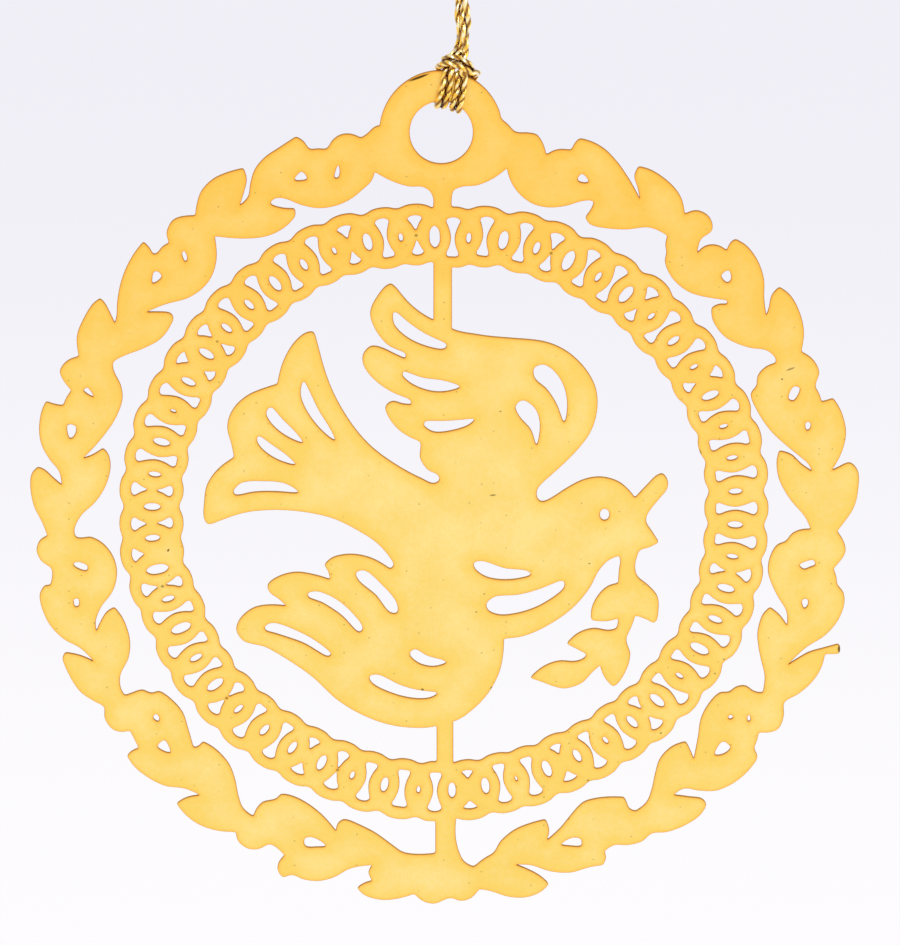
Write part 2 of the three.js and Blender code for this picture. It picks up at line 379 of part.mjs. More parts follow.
// The points of a smooth curve through the given ones, after its first point.
function smooth(points, closed) {
  if (points.length === 2) {
    return [new THREE.Vector2(...points[1])];
  }
  const corners = points.map(([x, z]) => new THREE.Vector3(x, z, 0));
  const curve = new THREE.CatmullRomCurve3(corners, closed, 'centripetal');
  const spans = closed ? points.length : points.length - 1;
  const flat = [];
  for (let span = 0; span < spans; span += 1) {
    flattenSpan(curve, span / spans, (span + 1) / spans, MAX_SPLITS, flat);
  }
  return flat;
}

// The points of a chain of strokes, corner to corner.
function strokePoints(strokes) {
  let corner = strokes[0][0];
  const points = [new THREE.Vector2(...corner)];
  strokes.forEach((stroke, index) => {
    const route = index === 0 ? stroke : [corner, ...stroke];
    points.push(...smooth(route, false));
    corner = stroke[stroke.length - 1];
  });
  return points;
}

function closedStrokes(strokes) {
  return strokePoints(strokes).slice(0, -1);
}

function smoothLoop(points) {
  return smooth(points, true);
}

// Points of an ellipse from one angle to another, clockwise from the top.
function ellipse(centre, radii, from, to, steps) {
  const points = [];
  for (let step = 0; step <= steps; step += 1) {
    const angle = from + ((to - from) * step) / steps;
    const x = centre[0] + radii[0] * Math.sin(angle);
    const z = centre[1] + radii[1] * Math.cos(angle);
    points.push(new THREE.Vector2(x, z));
  }
  return points;
}

function fullEllipse(centre, radii, steps) {
  return ellipse(centre, radii, 0, 2 * Math.PI, steps).slice(0, -1);
}

// The angle of a point round an ellipse, clockwise from the top.
function ellipseAngle(centre, radii, [x, z]) {
  return Math.atan2((x - centre[0]) / radii[0], (z - centre[1]) / radii[1]);
}

// A solid of the plate's thickness with the given outline and holes. The holes
// are turned to suit the outline only if that runs counter-clockwise.
function sheet(outline, holes) {
  const clockwise = THREE.ShapeUtils.isClockWise(outline);
  const shape = new THREE.Shape(clockwise ? outline.toReversed() : outline);
  shape.holes = holes.map((hole) => new THREE.Path(hole));
  const geometry = new THREE.ExtrudeGeometry(shape, { depth: PLATE_THICKNESS, bevelEnabled: false });
  geometry.translate(0, 0, -PLATE_THICKNESS / 2);
  geometry.rotateX(Math.PI / 2);
  return solidOf(geometry);
}

function solidOf(geometry) {
  const bare = geometry.index ? geometry.toNonIndexed() : geometry.clone();
  bare.deleteAttribute('normal');
  bare.deleteAttribute('uv');
  const merged = mergeVertices(bare);
  const vertProperties = new Float32Array(merged.attributes.position.array);
  const triVerts = new Uint32Array(merged.index.array);
  return new wasm.Manifold(new wasm.Mesh({ numProp: 3, vertProperties, triVerts }));
}

function geometryOf(solid) {
  const { vertProperties, triVerts } = solid.getMesh();
  const geometry = new THREE.BufferGeometry();
  geometry.setAttribute('position', new THREE.BufferAttribute(new Float32Array(vertProperties), 3));
  geometry.setIndex(new THREE.BufferAttribute(new Uint32Array(triVerts), 1));
  geometry.computeVertexNormals();
  return geometry;
}

const radians = THREE.MathUtils.degToRad;

// The wreath: its outer edge runs over the eye, and its inner edge is one hole.
function wreath() {
  const left = strokePoints(WREATH_OUTER_LEFT);
  const right = strokePoints(WREATH_OUTER_RIGHT);
  const from = ellipseAngle(EYE_CENTRE, EYE_RIM_RADII, WREATH_OUTER_RIGHT[0][0]);
  const to = ellipseAngle(EYE_CENTRE, EYE_RIM_RADII, WREATH_OUTER_LEFT[0][0]);
  const rim = ellipse(EYE_CENTRE, EYE_RIM_RADII, from, to, EYE_RIM_STEPS);
  const outer = [...left, ...right.slice(1, -1).reverse(), ...rim];
  const inner = [...strokePoints(WREATH_INNER_LEFT), ...strokePoints(WREATH_INNER_RIGHT).reverse()];
  const eye = fullEllipse(EYE_CENTRE, EYE_HOLE_RADII, EYE_HOLE_STEPS);
  return sheet(outer, [inner, eye, ...WREATH_OPENINGS.map(smoothLoop)]);
}

// Turns [along the ring, outwards] points about a place on the ring into drawing points.
function onRing(degrees, reach, points) {
  const outwards = new THREE.Vector2(Math.sin(radians(degrees)), Math.cos(radians(degrees)));
  return points.map(([across, out]) => new THREE.Vector2(
    (reach + out) * outwards.x + across * outwards.y,
    (reach + out) * outwards.y - across * outwards.x,
  ));
}

// One side of half an opening, from near its neck to its end: the width grows
// on a bend to the shoulder, and the corner past it is cut back.
function halfSide({ end, halfWidth }, from, neck, bend) {
  const flare = [OPENING_MIDDLE, OPENING_SHOULDER].map((share) => [
    neck + (halfWidth - neck) * (share / OPENING_SHOULDER) ** bend,
    from + (end - from) * share,
  ]);
  const corner = [neck + (halfWidth - neck) * OPENING_CORNER, end];
  return [...flare, corner];
}

function mirrored(points) {
  return points.map(([across, out]) => [-across, out]).reverse();
}

// An hourglass: the width grows from the neck to both ends.
function openLink({ degrees, reach, neck }) {
  const outer = halfSide(OUTER_OPENING, 0, neck, OPENING_BEND);
  const inner = halfSide(INNER_OPENING, 0, neck, OPENING_BEND).reverse();
  const side = [...inner, [neck, 0], ...outer];
  return [onRing(degrees, reach, [...side, ...mirrored(side)])];
}

// An hourglass parted by a bridge: a triangle outside and one inside.
function pinchedLink({ degrees, reach, neck }) {
  const halves = degrees === HALF_OPEN_LINK ? [OUTER_OPENING] : [OUTER_OPENING, INNER_OPENING];
  return halves.map((half) => {
    const tip = -neck * Math.sign(half.end);
    const side = halfSide(half, tip, 0, TRIANGLE_BEND);
    return onRing(degrees, reach, [[0, tip], ...side, ...mirrored(side)]);
  });
}

// The link after another, with its direction counted on past a full turn.
function linkAfter(index) {
  const last = index === LINKS.length - 1;
  const after = LINKS[last ? 0 : index + 1];
  return last ? { ...after, degrees: after.degrees + 360 } : after;
}

// The lens between two links, half way along and between their reaches.
function lens(link, after) {
  const radii = [(link.lensHeight * LENS_WIDTH_PER_HEIGHT) / 2, link.lensHeight / 2];
  const points = fullEllipse([0, LENS_SHIFT], radii, LENS_SIDES).map((point) => [point.x, point.y]);
  return onRing((link.degrees + after.degrees) / 2, (link.reach + after.reach) / 2, points);
}

// The scalloped edge that the links' rims make, outside (+1) or inside (-1):
// two points on each link's circle, and the filled valley where it meets the
// next one.
function scallops(side) {
  return LINKS.flatMap((link, index) => {
    const after = linkAfter(index);
    const before = LINKS[(index + LINKS.length - 1) % LINKS.length];
    const middle = onRing(link.degrees, link.reach + RIM_SHIFT, [[0, 0]])[0];
    const next = onRing(after.degrees, after.reach + RIM_SHIFT, [[0, 0]])[0];
    const last = onRing(before.degrees, before.reach + RIM_SHIFT, [[0, 0]])[0];
    const crests = [last, next].map((neighbour, turn) => {
      const along = neighbour.clone().sub(middle).multiplyScalar(CREST_SHARE);
      const rise = Math.sqrt(LINK_RADIUS ** 2 - along.lengthSq());
      const outwards = leftOf(along, turn === 0 ? -side : side);
      return middle.clone().add(along).add(outwards.multiplyScalar(rise));
    });
    const halfWay = next.clone().sub(middle).multiplyScalar(0.5);
    const depth = Math.sqrt(LINK_RADIUS ** 2 - halfWay.lengthSq()) + VALLEY_FILLET;
    const valley = middle.clone().add(halfWay).add(leftOf(halfWay, side).multiplyScalar(depth));
    return [...crests, valley];
  });
}

// The unit vector to the left (+1) or right (-1) of a direction.
function leftOf(direction, side) {
  return new THREE.Vector2(-direction.y, direction.x).normalize().multiplyScalar(side);
}

function linkRing() {
  const holes = [scallops(-1)];
  LINKS.forEach((link, index) => {
    holes.push(...(link.neck < 0 ? pinchedLink(link) : openLink(link)));
    holes.push(lens(link, linkAfter(index)));
  });
  return sheet(scallops(1), holes);
}

function dove() {
  const slots = [...TAIL_SLOTS, ...RAISED_WING_SLOTS, ...BODY_SLOTS, ...LOWERED_WING_SLOTS];
  const eye = fullEllipse(DOVE_EYE_CENTRE, DOVE_EYE_RADII, DOVE_EYE_STEPS);
  return sheet(closedStrokes(DOVE_OUTLINE), [...slots.map(smoothLoop), eye]);
}

function struts() {
  return STRUTS.map((corners) => sheet(corners.map((corner) => new THREE.Vector2(...corner)), []));
}

// The whole plate is one sheet: wreath, ring, dove and struts in one piece.
function etchedPlate() {
  const pieces = [linkRing(), dove(), ...struts()];
  const plate = pieces.reduce((joined, piece) => joined.add(piece), wreath());
  return named('etched_plate', geometryOf(plate), BRASS);
}

function circleShape(radius, sides) {
  const shape = new THREE.Shape();
  for (let side = 0; side < sides; side += 1) {
    const angle = (2 * Math.PI * side) / sides;
    const point = [radius * Math.cos(angle), radius * Math.sin(angle)];
    if (side === 0) {
      shape.moveTo(...point);
    } else {
      shape.lineTo(...point);
    }
  }
  return shape;
}

// A plain round tube of cord along a route of points.
function cordTube(route, step) {
  const points = route.map((point) => new THREE.Vector3(...point));
  const path = new THREE.CatmullRomCurve3(points, false, 'centripetal');
  const steps = Math.round(path.getLength() / step);
  return new THREE.ExtrudeGeometry(circleShape(CORD_RADIUS, CORD_SIDES), { steps, extrudePath: path });
}

function hitch() {
  return named('cord_hitch', cordTube(HITCH_ROUTE, HITCH_STEP), GOLD_CORD);
}

function strand(name, side) {
  const route = STRAND_ROUTE.map(([height, lean, spread, depth]) => [
    CORD_AXIS_X + side * spread, lean - side * depth, height,
  ]);
  return named(name, cordTube(route, STRAND_STEP), GOLD_CORD);
}

// The overhand knot that closes the loop, with the cord's two cut ends above it.
function endKnot() {
  const profile = [];
  for (let ring = 0; ring <= KNOT_RINGS; ring += 1) {
    const angle = (Math.PI * ring) / KNOT_RINGS;
    const radius = ring === 0 || ring === KNOT_RINGS ? 0 : KNOT_RADIUS * Math.sin(angle);
    profile.push(new THREE.Vector2(radius, -(KNOT_HEIGHT / 2) * Math.cos(angle)));
  }
  const ball = new THREE.LatheGeometry(profile, KNOT_SIDES);
  ball.rotateX(Math.PI / 2);
  ball.translate(CORD_AXIS_X, 0, KNOT_BOTTOM + KNOT_HEIGHT / 2);
  const tails = TAIL_SIDES.map((side) => {
    const route = TAIL_ROUTE.map(([spread, depth, height]) => [
      CORD_AXIS_X + side * spread, -side * depth, height,
    ]);
    return solidOf(cordTube(route, TAIL_STEP));
  });
  const knot = tails.reduce((joined, tail) => joined.add(tail), solidOf(ball));
  return named('end_knot', geometryOf(knot), GOLD_CORD);
}

function named(name, geometry, finish) {
  const mesh = new THREE.Mesh(geometry, new THREE.MeshStandardMaterial(finish));
  mesh.name = name;
  return mesh;
}

const ornament = new THREE.Group();
const strands = Object.entries(STRAND_SIDES).map(([name, side]) => strand(name, side));
ornament.add(etchedPlate(), hitch(), ...strands, endKnot());
ornament.position.set(-CORD_AXIS_X, 0, -HANG_HEIGHT);

export default ornament;
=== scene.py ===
import math

import bpy
import numpy as np
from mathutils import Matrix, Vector
from mathutils.geometry import delaunay_2d_cdt


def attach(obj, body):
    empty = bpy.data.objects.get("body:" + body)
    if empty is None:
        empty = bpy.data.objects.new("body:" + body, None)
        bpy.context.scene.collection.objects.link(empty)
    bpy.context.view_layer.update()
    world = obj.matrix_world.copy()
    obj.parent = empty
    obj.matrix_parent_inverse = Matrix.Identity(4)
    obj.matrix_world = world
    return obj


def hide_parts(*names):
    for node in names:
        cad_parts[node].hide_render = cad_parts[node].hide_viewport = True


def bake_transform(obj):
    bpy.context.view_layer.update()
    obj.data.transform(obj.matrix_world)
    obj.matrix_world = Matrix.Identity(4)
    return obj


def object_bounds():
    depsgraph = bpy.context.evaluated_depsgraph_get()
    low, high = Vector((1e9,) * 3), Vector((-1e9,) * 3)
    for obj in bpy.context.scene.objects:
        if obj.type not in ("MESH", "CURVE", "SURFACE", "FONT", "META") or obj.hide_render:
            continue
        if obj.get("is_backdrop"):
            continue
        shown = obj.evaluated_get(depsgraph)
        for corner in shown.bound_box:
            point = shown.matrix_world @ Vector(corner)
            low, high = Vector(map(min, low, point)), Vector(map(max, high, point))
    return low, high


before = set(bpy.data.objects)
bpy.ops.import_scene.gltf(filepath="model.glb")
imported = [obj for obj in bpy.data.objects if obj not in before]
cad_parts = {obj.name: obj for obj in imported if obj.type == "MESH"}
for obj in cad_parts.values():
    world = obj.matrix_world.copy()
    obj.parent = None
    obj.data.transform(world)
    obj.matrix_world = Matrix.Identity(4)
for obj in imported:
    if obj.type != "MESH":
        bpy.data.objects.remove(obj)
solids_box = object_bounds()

MM = 0.001
HANG_POINT = np.array([1.85, 0.0, 79.9])

# The camera: the drawing's point in the middle of the image, and how much of the plate the width takes in.
VIEW_AIM = np.array([0.57, 0.0, 4.105])
VIEW_WIDTH = 89.92
VIEW_DISTANCE = 3000.0
VIEW_ELEVATION = math.radians(18.2)
SENSOR_WIDTH = 36.0

# The cord: a thread of two foil strands laid round each other, doubled into a loosely twisted pair. Its
# ranges set where the threads meet, where the strands of one meet, and where a strand has its crown: where
# its painted shade and painted highlight go.
THREAD_RADIUS = 0.335
PAIR_OFFSET = 0.27
HITCH_OFFSET = 0.33
PAIR_LAY = -8.0
PAIR_WINDOW = 1.5
BAR_MIDDLE = [1.1, -1.75, 47.75]
BAR_REACH = 0.8
BAR_PARTING = 0.03
FOIL_LAY = 2.3
LOBE_RADIUS = 0.68
LOBE_OFFSET = 0.32
CORD_STEP = 0.08
CORD_SIDES = 24
SPAN_POINTS = 16
FRAME_CHOICES = 64
SPLICE = 0.3
SPLICE_CLOSING = 0.98
FRAY_LENGTH = 1.6
FRAY_SPREAD = 0.2
GAP_RANGE = (0.6, 1.0)
VALLEY_RANGE = (0.6, 1.0)
CROWN_RANGE = (0.72, 1.0)

# The cord's route in the drawing's millimetres. The hitch is [x, y, z], the strands of the loop are
# [height, lean of the pair, spread, depth], and the rows through the knot are [spread, depth, height].
HITCH_ROUTE = [
    [2.08, -0.78, 48.6], [2.0, -0.84, 47.9], [1.82, -0.87, 47.1], [1.7, -0.86, 46.2],
    [1.68, -0.86, 45.2], [1.6, -0.86, 44.3], [1.4, -0.86, 43.5], [1.18, -0.78, 42.75],
    [1.06, -0.36, 42.22], [1.12, 0.22, 42.2], [1.32, 0.76, 42.75], [1.75, 0.88, 43.6],
    [2.25, 0.88, 44.5], [2.7, 0.82, 45.3], [2.97, 0.5, 45.9], [3.05, 0.0, 46.12],
    [2.95, -0.6, 46.28], [2.66, -1.18, 46.68], [2.06, -1.64, 47.28], [1.3, -1.78, 47.68],
    [0.55, -1.6, 47.78], [0.0, -1.08, 47.55], [-0.24, -0.42, 47.05], [-0.3, 0.28, 46.62],
    [-0.3, 0.78, 46.0], [-0.3, 0.88, 45.2], [-0.4, 0.87, 44.2], [-0.45, 0.76, 43.15],
    [-0.43, 0.24, 42.52], [-0.36, -0.34, 42.55], [-0.22, -0.77, 43.1], [-0.03, -0.86, 43.9],
    [0.22, -0.86, 44.8], [0.34, -0.86, 45.7], [0.46, -0.82, 46.5], [0.74, -0.56, 47.25],
    [1.14, -0.18, 47.9], [1.46, 0.14, 48.45], [1.6, 0.22, 48.95],
]
STRAND_ROUTE = [
    [49.2, -0.275, 0.25, 0.5], [51.2, -0.26, 0.25, 0.5], [53.2, -0.22, 0.25, 0.5],
    [55.2, -0.17, 0.3, 0.5], [57.2, -0.12, 0.45, 0.5], [59.2, -0.08, 0.8, 0.46],
    [61.2, -0.05, 1.35, 0.4], [63.2, -0.02, 2.0, 0.32], [65.2, 0, 2.6, 0.23],
    [67.2, 0, 3.0, 0.15], [69.2, 0, 3.2, 0.08], [71.2, 0, 3.15, 0.03],
    [73.2, 0, 2.85, 0], [75.2, 0, 2.3, 0], [77, 0, 1.6, 0],
    [78.6, 0, 0.98, 0], [79.6, 0, 0.7, 0],
]
KNOT_ROUTE = [
    [0.62, 0, 80.1], [0.58, 0, 81.2], [0.56, 0, 82.2], [0.58, 0, 83.2],
    [0.75, 0.05, 84.4], [1.0, 0.1, 85.8], [1.35, 0.1, 87.2], [1.75, 0.05, 88.4],
]
# The turns of cord that make the end knot, wound round the two strands.
WRAP_RADII = [1.62, 1.1]
WRAP_START = 81.15
WRAP_PITCH = 1.25
WRAP_TURNS = 2.1
WRAP_SLANT = 0.16
WRAP_TUCK = 0.14
WRAP_TUCKED = 0.2
WRAP_POINTS = 400

# The heights on the strands where the loop's twist starts and ends; the points made from them are not used.
TWIST_TOP = 60.0
TWIST_BOTTOM = 49.2

# The sheet: its etched rims and walls, and the points that its faces are filled with. The wall's tone runs
# from the front rim to the back one, and 1 is fully brown.
SHEET_THICKNESS = 0.5
RIM_WIDTH = 0.07
RIM_FIT = 0.6
RIM_LEAST = 0.15
WALL_RIDGE = 0.025
WALL_TONE = [0.12, 0.5, 1.0, 0.5, 0.12]
OUTLINE_STEP = 0.25
CORNER_TURN = math.radians(58)
SMALL_LOOP = 6.0
INSET_ROWS = [0.15, 0.3, 0.5]
INSET_ROOM = 0.9
FACE_PITCH = 0.75
FACE_CLEARANCE = 0.65
WELD = 0.002
STRAIGHT = 1e-6
FILL_TOLERANCE = 1e-7
POINTS_AT_ONCE = 400

# The studio, in metres: the floor's colour near the camera and far from it, the share that is its own glow,
# the world, and each lamp's place, size and watts.
FLOOR_HEIGHT = -0.22
FLOOR_HALF = 4.0
FLOOR_RAMP = (0.26, 0.6)
FLOOR_NEAR = (1.0, 0.985, 1.0, 1)
FLOOR_FAR = (0.89, 0.88, 0.941, 1)
FLOOR_GLOW = 0.85
FLOOR_ROUGHNESS = 0.9
WORLD_COLOUR = (0.9, 0.9, 0.94, 1)
WORLD_STRENGTH = 0.88
LAMPS = {
    "key": ((-0.45, -0.85, 0.4), 0.3, 3.6),
    "fill": ((0.7, -0.8, 0.15), 0.7, 3.0),
}

# The gilt sheet's colours, linear, and what moves it from the edge tone to the open one: the distance from
# an edge, and noises as [scale per millimetre, detail, swing].
GILT_OPEN = (1.0, 0.79, 0.3, 1)
GILT_EDGE = (1.0, 0.7, 0.15, 1)
GILT_RIM = (1.0, 0.63, 0.135, 1)
GILT_SHADE = (1.0, 0.88, 0.68, 1)
GILT_WALL = (0.48, 0.22, 0.035, 1)
GILT_MARK = (0.1, 0.045, 0.01, 1)
EDGE_DISTANCES = (-1.2, 2.2)
EDGE_PALENESS = (-0.34, 0.55)
GILT_NOISES = {"cloud": [0.17, 2.0, 0.24], "mottle": [1.6, 3.0, 0.12], "grain": [5.0, 2.0, 0.16]}
NOISE_MIDDLE = (0.3, 0.7)
NOISE_ROUGHNESS = 0.55
RIM_FADE = 0.4
# The frame's deeper tone: the heights and the distances from the ring's centre that bring it in.
SHADE_HEIGHTS = (-8.0, 36.0)
FRAME_RADII = (23.0, 26.0)
INSIDE_SHADE = 0.4
GILT_ROUGHNESS = (0.3, 0.38)
WALL_ROUGHNESS = 0.75
GRAIN_STRENGTH = 0.06
GRAIN_HEIGHT = 0.02

# The foil thread's colours, linear, with a painted highlight for its crowns and painted shade for its lay
# and where threads meet, the flecks that vary it, and its shine.
FOIL_BRIGHT = (1.0, 0.8, 0.19, 1)
FOIL_DEEP = (1.0, 0.6, 0.06, 1)
FOIL_PAINTED_HIGHLIGHT = (1.0, 0.96, 0.72, 1)
FOIL_LAY_SHADE = (0.3, 0.11, 0.01, 1)
FOIL_GAP_SHADE = (0.2, 0.07, 0.01, 1)
FLECK_SCALE = 1.6
FLECK_DETAIL = 2.0
FLECK_TONE = (0.35, 0.65)
FLECK_PAINTED_HIGHLIGHT = (0.46, 0.58)
FOIL_ROUGHNESS = (0.08, 0.18)
FOIL_COAT = 0.5
FOIL_COAT_ROUGHNESS = 0.06

# Specks on the sheet: cells per millimetre, the share of cells with one, their radii and their strength.
SPECK_CELLS = 0.8
SPECK_SHARE = 0.16
SPECK_RADII = (0.03, 0.1)
SPECK_STRENGTH = 0.4
# Marks on the sheet's front: [x, z, half length, half width, degrees, strength]. They are full within the
# core share of their size, and fade out over this depth each side of the sheet's middle.
MARK_CORE = 0.45
FRONT_FADE = 0.1
MARKS = [
    [34.56, 15.06, 0.6, 0.13, 21, 0.6],
    [33.71, 14.0, 0.14, 0.14, 0, 0.7],
    [4.86, 1.8, 0.42, 0.11, 6, 0.7],
    [-2.19, -18.7, 0.2, 0.16, 0, 0.8],
    [4.71, -18.5, 0.2, 0.12, 60, 0.7],
    [4.0, -8.6, 0.12, 0.1, 0, 0.7],
    [3.2, -10.5, 0.12, 0.1, 0, 0.7],
    [14.5, -5.4, 0.14, 0.1, 0, 0.7],
    [5.6, 10.6, 0.14, 0.1, 0, 0.7],
    [-2.52, 45.55, 1.4, 0.17, 21, 1.0],
    [39.6, -14.4, 0.3, 0.6, 0, 0.9],
    [25.5, 6.2, 0.25, 0.5, 0, 0.5],
    [10.65, 27.2, 0.22, 0.2, 0, 0.6],
    [-10.7, -27.2, 0.22, 0.2, 0, 0.6],
    [-21.8, -19.6, 0.22, 0.2, 0, 0.6],
    [-28.2, -7.8, 0.22, 0.2, 0, 0.6],
    [-2.8, 29.05, 0.22, 0.2, 0, 0.6],
    [-27.6, -4.0, 0.22, 0.14, 60, 0.85],
    [28.0, -15.5, 0.16, 0.14, 0, 0.5],
    [27.1, -17.0, 0.16, 0.14, 0, 0.5],
    [21.7, -23.3, 0.18, 0.16, 0, 0.5],
    [14.4, -28.3, 0.18, 0.16, 0, 0.5],
    [-22.65, 17.95, 0.2, 0.18, 0, 0.5],
]


def unit(vectors):
    """Each vector over its own length."""
    return vectors / np.linalg.norm(vectors, axis=-1, keepdims=True)


def smoothstep(low, high, value):
    """0 below low and 1 above high, with 3t^2 - 2t^3 between them."""
    t = np.clip((value - low) / (high - low), 0, 1)
    return t * t * (3 - 2 * t)


def to_row(points):
    """Drawing millimetres to metres from the hang point."""
    return (np.asarray(points, float) - HANG_POINT) * MM


# Meshes

def piece(name, points, faces, attributes, smooth, material):
    """An object from points, faces (an array of point numbers for each face size) and point attributes."""
    mesh = bpy.data.meshes.new(name)
    sizes = np.concatenate([np.full(len(group), group.shape[1]) for group in faces])
    corners = np.concatenate([group.ravel() for group in faces])
    mesh.vertices.add(len(points))
    mesh.vertices.foreach_set("co", np.ascontiguousarray(points, np.float32).ravel())
    mesh.loops.add(len(corners))
    mesh.loops.foreach_set("vertex_index", corners.astype(np.int32))
    mesh.polygons.add(len(sizes))
    mesh.polygons.foreach_set("loop_start", (np.cumsum(sizes) - sizes).astype(np.int32))
    mesh.polygons.foreach_set("use_smooth", np.ascontiguousarray(smooth, bool))
    for key, values in attributes.items():
        layer = mesh.attributes.new(key, "FLOAT", "POINT")
        layer.data.foreach_set("value", np.ascontiguousarray(values, np.float32))
    mesh.update(calc_edges=True)
    mesh.validate()
    mesh.materials.append(material)
    made = bpy.data.objects.new(name, mesh)
    bpy.context.scene.collection.objects.link(made)
    return made


# The cord

def side_of_loop(side):
    """One strand of the loop and its way through the knot, from the hitch up: the rows times the side."""
    height, lean, spread, depth = np.array(STRAND_ROUTE, float).T
    strand = np.stack([HANG_POINT[0] + side * spread, lean - side * depth, height], axis=1)
    spread, depth, height = np.array(KNOT_ROUTE, float).T
    knot = np.stack([HANG_POINT[0] + side * spread, -side * depth, height], axis=1)
    return np.concatenate([strand, knot])


def curve_through(points, per_span):
    """A smooth curve through points: cubics with end slopes that suit steps of the root of each chord."""
    padded = np.concatenate([[2 * points[0] - points[1]], points, [2 * points[-1] - points[-2]]])
    before, start, end, after = padded[:-3], padded[1:-2], padded[2:-1], padded[3:]
    gaps = np.sqrt(np.linalg.norm(np.diff(padded, axis=0), axis=1))[:, None]
    first, middle, last = gaps[:-2], gaps[1:-1], gaps[2:]
    leave = (start - before) / first - (end - before) / (first + middle) + (end - start) / middle
    arrive = (end - start) / middle - (after - start) / (middle + last) + (after - end) / last
    leave, arrive = leave * middle, arrive * middle
    square = 3 * (end - start) - 2 * leave - arrive
    cube = 2 * (start - end) + leave + arrive
    t = (np.arange(per_span) / per_span)[None, :, None]
    spans = start[:, None] + t * (leave[:, None] + t * (square[:, None] + t * cube[:, None]))
    return np.concatenate([spans.reshape(-1, 3), points[-1:]])


def lengths_along(line):
    """The distance along a line of points to each of them."""
    return np.concatenate([[0], np.cumsum(np.linalg.norm(np.diff(line, axis=0), axis=1))])


def evenly(line, step):
    """The line again with its points a step apart, and their distances along it."""
    along = lengths_along(line)
    at = np.linspace(0, along[-1], int(along[-1] / step) + 1)
    return np.stack([np.interp(at, along, line[:, axis]) for axis in range(3)], axis=1), at


def steady_frame(line):
    """Two directions square to a line that don't spin about it.

    Of directions spread evenly over a sphere, the one that the line runs along least is squared to each
    tangent, and its spin, summed along the line, is turned back out of it.
    """
    tangent = unit(np.gradient(line, axis=0))
    number = np.arange(FRAME_CHOICES)
    turn = number * math.pi * (3 - math.sqrt(5))
    rise = (2 * number + 1) / FRAME_CHOICES - 1
    flat = np.sqrt(1 - rise ** 2)
    choices = np.stack([flat * np.cos(turn), flat * np.sin(turn), rise], axis=1)
    fixed = choices[np.abs(tangent @ choices.T).max(axis=0).argmin()]
    across = unit(fixed - (tangent @ fixed)[:, None] * tangent)
    other = np.cross(tangent, across)
    spin = (np.diff(across, axis=0) * (other[1:] + other[:-1]) / 2).sum(axis=1)
    back = -np.concatenate([[0], np.cumsum(spin)])[:, None]
    return np.cos(back) * across + np.sin(back) * other, np.cos(back) * other - np.sin(back) * across


def pair_angle(line, along, across, other, start, end):
    """The angle of the pair about its line.

    From start to end the pair lies flat on what the line bends round, so its direction is square to the
    bend. It looks the same after half a turn, so the mean over a window is of the doubled angle, and a
    strong bend counts for more. Before start and after end it turns at the pair's own lay.
    """
    bend = np.gradient(np.gradient(line, along, axis=0), along, axis=0)
    flat = np.cross(np.gradient(line, along, axis=0), bend)
    doubled = ((flat * across).sum(axis=1) + 1j * (flat * other).sum(axis=1)) ** 2
    reach = np.arange(-3 * PAIR_WINDOW, 3 * PAIR_WINDOW, CORD_STEP)
    mean = np.convolve(doubled, np.exp(-0.5 * (reach / PAIR_WINDOW) ** 2), mode="same")
    angle = np.unwrap(np.angle(mean)) / 2
    held = np.interp(np.clip(along, start, end), along, angle)
    return held + 2 * math.pi * (along - np.clip(along, start, end)) / PAIR_LAY


def laid_pair(line, along, start, end):
    """The middle line of each thread of the pair, and the direction from the cord's middle to it.

    The threads lie half a turn from each other about the line. They lie wider apart from start to end,
    wider still by a bell curve about the middle of the hitch's bar, and they open out at the cut ends.
    """
    across, other = steady_frame(line)
    free_end = np.minimum(along, along[-1] - along)
    outside = np.maximum(start - along, along - end)
    fray = FRAY_SPREAD * (1 - smoothstep(0, FRAY_LENGTH, free_end))
    parting = BAR_PARTING * np.exp(-((line - BAR_MIDDLE) ** 2).sum(axis=1) / BAR_REACH ** 2)
    tight = smoothstep(-FRAY_LENGTH, 0, outside)
    offset = (HITCH_OFFSET + (PAIR_OFFSET - HITCH_OFFSET) * tight + fray + parting)[:, None]
    angle = pair_angle(line, along, across, other, start, end)[:, None]
    for half_turn in (0, math.pi):
        radial = np.cos(angle + half_turn) * across + np.sin(angle + half_turn) * other
        yield line + offset * radial, radial


